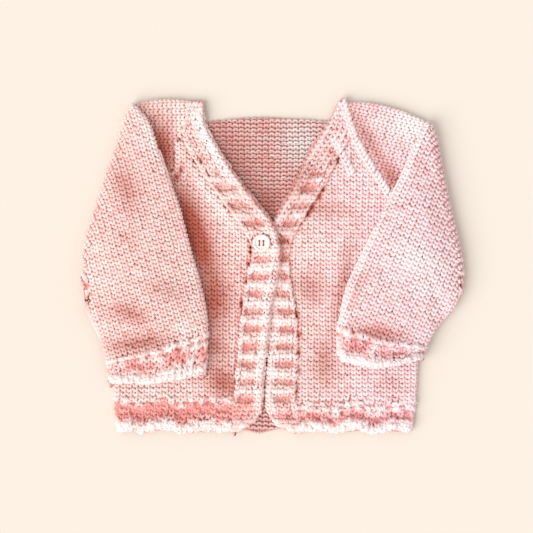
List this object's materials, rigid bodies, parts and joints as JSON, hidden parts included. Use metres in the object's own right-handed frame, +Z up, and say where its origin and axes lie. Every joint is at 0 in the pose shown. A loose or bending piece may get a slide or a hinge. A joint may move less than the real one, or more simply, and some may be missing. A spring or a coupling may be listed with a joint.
{
  "type": "baby cardigan",
  "caption": "Hand-knitted baby cardigan with a V neck, raglan sleeves, ridged front bands and a small button, lying flat with the sleeves folded over the fronts.",
  "frame": {"origin": "on the ground plane under the middle of the garment's outline as it lies", "axes": "+Z up out of the fronts, +Y towards the neck, -Y towards the hem, -X the wearer's right side; the garment lies on its back"},
  "size_m": [0.258, 0.2268, 0.0131],
  "materials": {
    "knit": "soft hand-knitted acrylic yarn, light pink, slight sheen",
    "button": "glossy, pearly white"
  },
  "bodies": {
    "root": {"back": "knit", "front_right": "knit", "front_left": "knit", "band_right": "knit", "band_left": "knit", "sleeve_right": "knit", "sleeve_left": "knit", "button": "button"}
  },
  "joints": []
}
